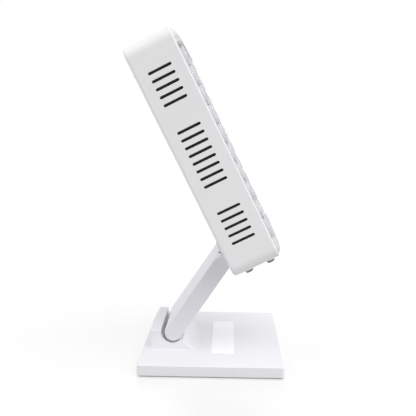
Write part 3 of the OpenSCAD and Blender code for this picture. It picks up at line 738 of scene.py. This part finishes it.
def make_arm():
    """The arm's moulding, its cover on the underside, and the caps over the hinge pins."""
    body = merged_copy("arm_body", "arm_moulding")
    smooth(body)
    # The arm's darker white is painted shade from the panel above.
    stands_for(body, "arm_body", "white_shell", ARM_WHITE_PAINTED_SHADE)

    under = reach("arm_cover", -ARM_BACK)[1] + ARM_BACK.dot(BASE_PIVOT)
    cover = merged_copy("arm_cover", "arm_cover_moulding")
    soften(cover, COVER_EDGE, at_height(under), steps=2, at=IN_ARM)
    smooth(cover)
    stands_for(cover, "arm_cover", "base_cover_white", COVER_WHITE)

    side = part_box("pin_caps")[1].x
    caps = merged_copy("pin_caps", "pin_caps_moulding")
    soften(caps, CAP_EDGE, both_ends(lambda place: place.x > side - NEAR))
    smooth(caps)
    stands_for(caps, "pin_caps", "white_shell", ARM_WHITE_PAINTED_SHADE)


# Pieces of the panel

def inset_from_outline(place):
    """How far a place in the panel lies in from the housing's outline."""
    flat_x = PANEL_HALF - PANEL_CORNER
    flat_v = PANEL_HEIGHT / 2 - PANEL_CORNER
    past_x = abs(place.x) - flat_x
    past_v = abs(place.y) - flat_v
    if past_x > 0 and past_v > 0:
        return PANEL_CORNER - math.hypot(past_x, past_v)
    return PANEL_CORNER - max(past_x, past_v)


def make_rear_housing():
    """The panel's housing: a rounded rim, and softened vents and openings."""
    piece = merged_copy("rear_housing", "rear_housing_moulding")

    def on_vents(place):
        return PANEL_HALF - abs(place.x) < NEAR and place.z < RIM_DEPTH - 2 * RIM_ROUND

    def on_rim(place):
        return abs(place.z - RIM_DEPTH) < NEAR and inset_from_outline(place) < RIM_INNER

    soften(piece, VENT_EDGE, both_ends(on_vents), steps=2, at=IN_PANEL)
    soften(piece, GRILLE_EDGE, at_height(0), steps=2, at=IN_PANEL)
    soften(piece, RIM_ROUND, both_ends(on_rim), steps=5, at=IN_PANEL)
    smooth(piece)
    stands_for(piece, "rear_housing", "white_shell", PANEL_WHITE)


def make_front_frame():
    """The front frame, with a softened window and softened end bars."""
    piece = merged_copy("front_frame", "front_frame_moulding")
    screws = [span(points, IN_PANEL) for points in solids("front_screws")]
    face = min(high.z for low, high in screws)
    screw_spots = [(low + high) / 2 for low, high in screws]

    def inner(place):
        clear = all(
            math.hypot(place.x - spot.x, place.y - spot.y) > SCREW_CLEAR for spot in screw_spots
        )
        return place.z > face - NEAR and inset_from_outline(place) > FRAME_MARGIN and clear

    soften(piece, FRAME_EDGE, both_ends(inner), at=IN_PANEL)
    smooth(piece)
    stands_for(piece, "front_frame", "white_shell", PANEL_WHITE)


def make_bracket():
    """The panel's hinge block, with softened ends."""
    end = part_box("panel_hinge_block")[1].x
    piece = merged_copy("panel_hinge_block", "panel_hinge_block_moulding")

    def on_end(place):
        return abs(abs(place.x) - end) < NEAR and place.z < -NEAR

    soften(piece, BLOCK_EDGE, both_ends(on_end), at=IN_PANEL)
    smooth(piece)
    stands_for(piece, "panel_hinge_block", "white_shell", ARM_WHITE_PAINTED_SHADE)


def make_lens_plate():
    """The lens plate: softened lenses with clear crowns, on a frosted plate."""
    piece = merged_copy("lens_plate", "lens_plate_moulding")
    crown = span(solids("lens_plate")[0], IN_PANEL)[1].z - LENS_CROWN
    soften(piece, LENS_EDGE, at_height(crown), at=IN_PANEL)
    smooth(piece)
    stands_for(piece, "lens_plate", "clear_lens", CLEAR_LENS, FROSTED_LENS)
    second_finish(piece, lambda place: RIM_DEPTH - NEAR < place.z < crown, IN_PANEL)


def emitter_body(half):
    """The ceramic body of an LED package."""
    body = block("emitter_body", (-half, -half, 0), (half, half, EMITTER_BODY))
    soften(body, EMITTER_CORNER, upright, steps=2)
    soften(body, EMITTER_EDGE, at_height(EMITTER_BODY), steps=1)
    body.data.materials.append(CERAMIC)
    return body


def emitter_dome():
    """The gel dome on an LED package: the upper half of a ball, pressed flat."""
    bpy.ops.object.select_all(action="DESELECT")
    bpy.ops.mesh.primitive_uv_sphere_add(segments=GEL_SIDES, ring_count=GEL_RINGS, radius=1)
    dome = made("emitter_gel_dome")
    open_faces(dome, lambda middle, normal: True)
    bpy.ops.mesh.bisect(plane_co=(0, 0, 0), plane_no=(0, 0, 1), use_fill=True, clear_inner=True)
    bpy.ops.mesh.select_all(action="SELECT")
    bpy.ops.transform.resize(
        value=(GEL_RADIUS, GEL_RADIUS, GEL_HEIGHT), center_override=(0, 0, 0)
    )
    bpy.ops.transform.translate(value=(0, 0, EMITTER_BODY))
    close_mesh()
    dome.data.materials.append(GEL)
    return dome


def make_emitters():
    """LED packages: a ceramic body and an amber gel dome under every lens."""
    low, high = span(solids("led_chips")[0], IN_PANEL)
    half = (high.x - low.x) / 2
    pattern = joined([emitter_body(half), emitter_dome()], "emitter")
    smooth(pattern)
    piece = joined(copies_for("led_chips", pattern, PANEL_FRONT, high.z - low.z), "led_emitters")
    stands_for(piece, "led_chips", "led_chip")


def make_feet():
    """Feet under the panel: a pale collar that holds a rubber pad with a dimple; the pad's dark tone
    is partly painted shade on the foot's lower end.
    """
    piece = round_bar("foot", FOOT_RADIUS, FOOT_RADIUS, 0, FOOT_COLLAR, FOOT_SIDES)
    open_faces(piece, lambda middle, normal: normal.z > FACING)
    bpy.ops.mesh.inset(thickness=FOOT_STEP)
    extrude(FOOT_HEIGHT - FOOT_COLLAR)
    close_mesh()
    soften(piece, FOOT_EDGE, at_height(FOOT_HEIGHT), steps=4)
    open_faces(piece, lambda middle, normal: normal.z > FACING and middle.z > FOOT_HEIGHT - NEAR)
    bpy.ops.mesh.inset(thickness=FOOT_RING)
    extrude(-FOOT_DIMPLE)
    close_mesh()
    open_faces(piece, lambda middle, normal: normal.z < -FACING)
    bpy.ops.mesh.inset(thickness=FOOT_RADIUS - STEM_RADIUS)
    extrude(-STEM_LENGTH)
    extrude(0)
    bpy.ops.transform.resize(
        value=(BARB_GROWTH, BARB_GROWTH, 1), center_override=(0, 0, -STEM_LENGTH)
    )
    extrude(-BARB_LENGTH)
    close_mesh()
    smooth(piece)
    feet = joined(copies_for("panel_feet", piece, -PANEL_UP, FOOT_HEIGHT), "panel_feet_pads")
    collar_end = -PANEL_HEIGHT / 2 - FOOT_COLLAR - NEAR
    stands_for(feet, "panel_feet", "foot_rubber", FOOT_COLLAR_GREY, FOOT_RUBBER_AND_PAINTED_SHADE)
    # The lower end past the collar takes the dark pad finish: rubber, and partly painted shade.
    second_finish(feet, lambda place: place.y < collar_end, IN_PANEL)


# Screws

def cross_recess(piece, top):
    """Cuts a cross recess into a screw head whose face is at this height."""
    for long_x, long_y in ((CROSS_LONG, CROSS_WIDE), (CROSS_WIDE, CROSS_LONG)):
        half = Vector((long_x, long_y, 2 * CROSS_DEEP)) / 2
        middle = Vector((0, 0, top))
        cutter = block("cross_cutter", middle - half, middle + half)
        modify(piece, "BOOLEAN", operation="DIFFERENCE", object=cutter, solver="EXACT")
        discard(cutter)


def grow_shank(piece, from_radius, length):
    """Draws a shank out of a screw head's lower face."""
    open_faces(piece, lambda middle, normal: normal.z < -FACING)
    if from_radius > SHANK_RADIUS:
        bpy.ops.mesh.inset(thickness=from_radius - SHANK_RADIUS)
    extrude(-length)
    close_mesh()


def make_screws(node, outward, sunk=False):
    """Cross-recess screws in place of a CAD node's plain ones, with heads that face outward."""
    turn = axes(ACROSS, outward.cross(ACROSS), outward, Vector())
    low, high = span(solids(node)[0], turn)
    length = high.z - low.z
    if sunk:
        head = SUNK_HEIGHT
        piece = round_bar("sunk_screw", SHANK_RADIUS, HEAD_RADIUS, 0, head, SCREW_SIDES)
        grow_shank(piece, SHANK_RADIUS, length - head)
    else:
        head = HEAD_HEIGHT
        piece = round_bar("pan_screw", HEAD_RADIUS, HEAD_RADIUS, 0, head, SCREW_SIDES)
        soften(piece, HEAD_DOME, at_height(head), steps=4)
        grow_shank(piece, HEAD_RADIUS, length - head)
    cross_recess(piece, head)
    smooth(piece)
    group = joined(copies_for(node, piece, outward, head), node + "_cross_heads")
    stands_for(group, node, "screw_steel", SCREW_STEEL)


# Fans, power inlet and switch

def make_fans():
    """Fan frames and rotors, shaded as mouldings."""
    for side in ("left", "right"):
        for part in ("fan_frame_", "fan_rotor_"):
            piece = merged_copy(part + side, part + side + "_moulding")
            smooth(piece)
            stands_for(piece, part + side, "black_plastic", BLACK_PLASTIC)


def make_inlet():
    """The mains inlet: a softened flange round a socket with metal pins."""
    outer = min(span(points, IN_PANEL)[0].z for points in solids("power_inlet"))
    low, high = span(solids("power_inlet")[0], IN_PANEL)
    middle = (low + high) / 2
    piece = merged_copy("power_inlet", "power_inlet_moulding")
    soften(piece, PLATE_EDGE, at_height(outer), at=IN_PANEL)
    smooth(piece)
    stands_for(piece, "power_inlet", "black_plastic", BLACK_PLASTIC, SCREW_STEEL)

    def metal(place):
        across = abs(place.x - middle.x) < SOCKET_HALF[0]
        inside = across and abs(place.y - middle.y) < SOCKET_HALF[1]
        pin = inside and 0 < place.z < SOCKET_FLOOR - NEAR
        tail = place.z > SOCKET_TAIL
        return pin or tail

    second_finish(piece, metal, IN_PANEL)


def make_bezel():
    """The switch's bezel, with a softened face."""
    outer = span(solids("switch_frame")[0], IN_PANEL)[0].z
    bezel = merged_copy("switch_frame", "switch_bezel")
    soften(bezel, PLATE_EDGE, at_height(outer), at=IN_PANEL)
    smooth(bezel)
    stands_for(bezel, "switch_frame", "black_plastic", BLACK_PLASTIC)


def rocker_pads(rocker):
    """Frames on the two pads of the rocker, the lower one first, with Z outward."""
    outward = [face for face in rocker.data.polygons if face.normal.dot(-PANEL_FRONT) > FACING]
    pads = sorted(outward, key=lambda face: -face.area)[:2]
    pads.sort(key=lambda face: face.center.z)
    return [
        axes(ACROSS, face.normal.cross(ACROSS), face.normal.copy(), face.center.copy())
        for face in pads
    ]


def make_marks(pads):
    """The usual bar and ring on the rocker's pads."""
    bar = block(
        "on_mark", (-MARK_WIDTH / 2, -MARK_LENGTH / 2, -MARK_HEIGHT),
        (MARK_WIDTH / 2, MARK_LENGTH / 2, MARK_HEIGHT),
    )
    soften(bar, MARK_CORNER, upright, steps=2)
    bpy.ops.object.select_all(action="DESELECT")
    bpy.ops.mesh.primitive_torus_add(
        major_segments=RING_SIDES, minor_segments=RING_FACETS,
        major_radius=RING_RADIUS, minor_radius=MARK_WIDTH / 2,
    )
    ring = made("off_mark")
    open_faces(ring, lambda middle, normal: True)
    bpy.ops.transform.resize(
        value=(1, 1, 2 * MARK_HEIGHT / MARK_WIDTH), center_override=(0, 0, 0)
    )
    close_mesh()
    for mark, pad in zip((bar, ring), pads):
        mark.data.transform(pad)
        smooth(mark)
        added(mark, "rocker", MARK_WHITE)


def make_rocker():
    """The switch's rocker, softened, with its marks."""
    rocker = merged_copy("rocker_switch", "rocker_moulding")
    pads = rocker_pads(rocker)
    soften(rocker, ROCKER_EDGE, both_ends(lambda place: place.z < 0), at=IN_PANEL)
    smooth(rocker)
    stands_for(rocker, "rocker_switch", "rocker_black", ROCKER_BLACK)
    make_marks(pads)


# Pieces inside the casings

def dress_inner_nodes():
    """Pieces that a casing hides keep their CAD shape and take a finish."""
    for material, nodes in (
        (MAT_RUBBER, ("anti_slip_mat",)),
        (COVER_WHITE, ("base_cover",)),
        (BALLAST_STEEL, ("base_ballast",)),
        (HINGE_STEEL, ("base_hinge_ears", "panel_hinge_ears", "lower_hinge_pin", "upper_hinge_pin")),
        (WASHER_BRASS, ("lower_friction_washers", "upper_friction_washers")),
        (
            SCREW_STEEL,
            (
                "base_cover_screws", "hinge_block_screws", "bracket_screws", "led_board_screws",
                "heat_sink_screws",
            ),
        ),
        (GASKET_SILICONE, ("lens_gasket",)),
        (BOARD_WHITE, ("led_board",)),
        (ALUMINIUM, ("heat_sink", "heat_sink_posts", "power_supply")),
        (SCREEN_BLACK, ("vent_screens",)),
        (MAINS_BROWN, ("mains_wires",)),
        (LAMP_RED, ("lamp_wires",)),
        (FAN_YELLOW, ("fan_wires",)),
    ):
        for node in nodes:
            NODES[node].data.materials.clear()
            NODES[node].data.materials.append(material)


# Studio

def add_camera():
    """The camera at the photograph's place."""
    aim = Vector((
        math.cos(CAMERA_PITCH) * math.cos(CAMERA_YAW),
        math.cos(CAMERA_PITCH) * math.sin(CAMERA_YAW),
        -math.sin(CAMERA_PITCH),
    ))
    turn = aim.to_track_quat("-Z", "Y").to_euler()
    bpy.ops.object.camera_add(location=CAMERA_PLACE, rotation=turn)
    camera = bpy.context.active_object
    camera.data.sensor_width = CAMERA_SENSOR
    camera.data.lens = CAMERA_LENS
    bpy.context.scene.camera = camera


def seen_plainly(shader):
    """1 for rays that show the background itself, straight or by way of gloss or glass."""
    path = [
        shader.node("ShaderNodeLightPath", {}, {}, name)
        for name in ("Is Camera Ray", "Is Glossy Ray", "Is Transmission Ray")
    ]
    return path[0].math("MAXIMUM", path[0].math("MAXIMUM", path[0], path[1]), path[2])


def light_world():
    """Even white light all round, and a white background."""
    world = bpy.data.worlds.new("studio")
    bpy.context.scene.world = world
    shader = Shader(world)
    background = shader.tree.nodes["Background"]
    background.inputs["Color"].default_value = (1, 1, 1, 1)
    seen = seen_plainly(shader)
    strength = seen * (BACKGROUND_WHITE - WORLD_LIGHT) + WORLD_LIGHT
    shader.link(background.inputs["Strength"], strength)


def hang_lamps():
    """Very soft lamps, far off: above the camera's side, behind the panel and before it."""
    for side, strength in LAMPS:
        bpy.ops.object.light_add(type="SUN")
        lamp = bpy.context.active_object
        lamp.data.angle = LAMP_SPREAD
        lamp.data.energy = strength
        lamp.rotation_euler = (-Vector(side)).to_track_quat("-Z", "Y").to_euler()


def lay_floor():
    """A white floor that keeps the object's shadow and a trace of its reflection."""
    bpy.ops.object.select_all(action="DESELECT")
    bpy.ops.mesh.primitive_plane_add(size=FLOOR_SIZE, location=(0, 0, -FLOOR_DROP))
    floor = made("studio_floor")
    finish = Finish("white_floor", Base_Color=FLOOR_TONE, Roughness=FLOOR_BLUR, IOR=FLOOR_IOR)
    finish.set("Emission Color", finish.mix(seen_plainly(finish), (0, 0, 0), (1, 1, 1)))
    finish.set("Emission Strength", FLOOR_GLOW)
    floor.data.materials.append(finish.material)


add_camera()
make_base_shell()
make_label()
make_hinge_block()
make_arm()
make_rear_housing()
make_front_frame()
make_bracket()
make_lens_plate()
make_emitters()
make_feet()
for back_screws in ("post_screws", "fan_screws", "power_supply_screws"):
    make_screws(back_screws, -PANEL_FRONT)
make_screws("front_screws", PANEL_FRONT)
make_screws("arm_cover_screws", -ARM_BACK, sunk=True)
make_fans()
make_inlet()
make_bezel()
make_rocker()
dress_inner_nodes()
light_world()
hang_lamps()
lay_floor()
bpy.context.scene.view_settings.view_transform = "Standard"
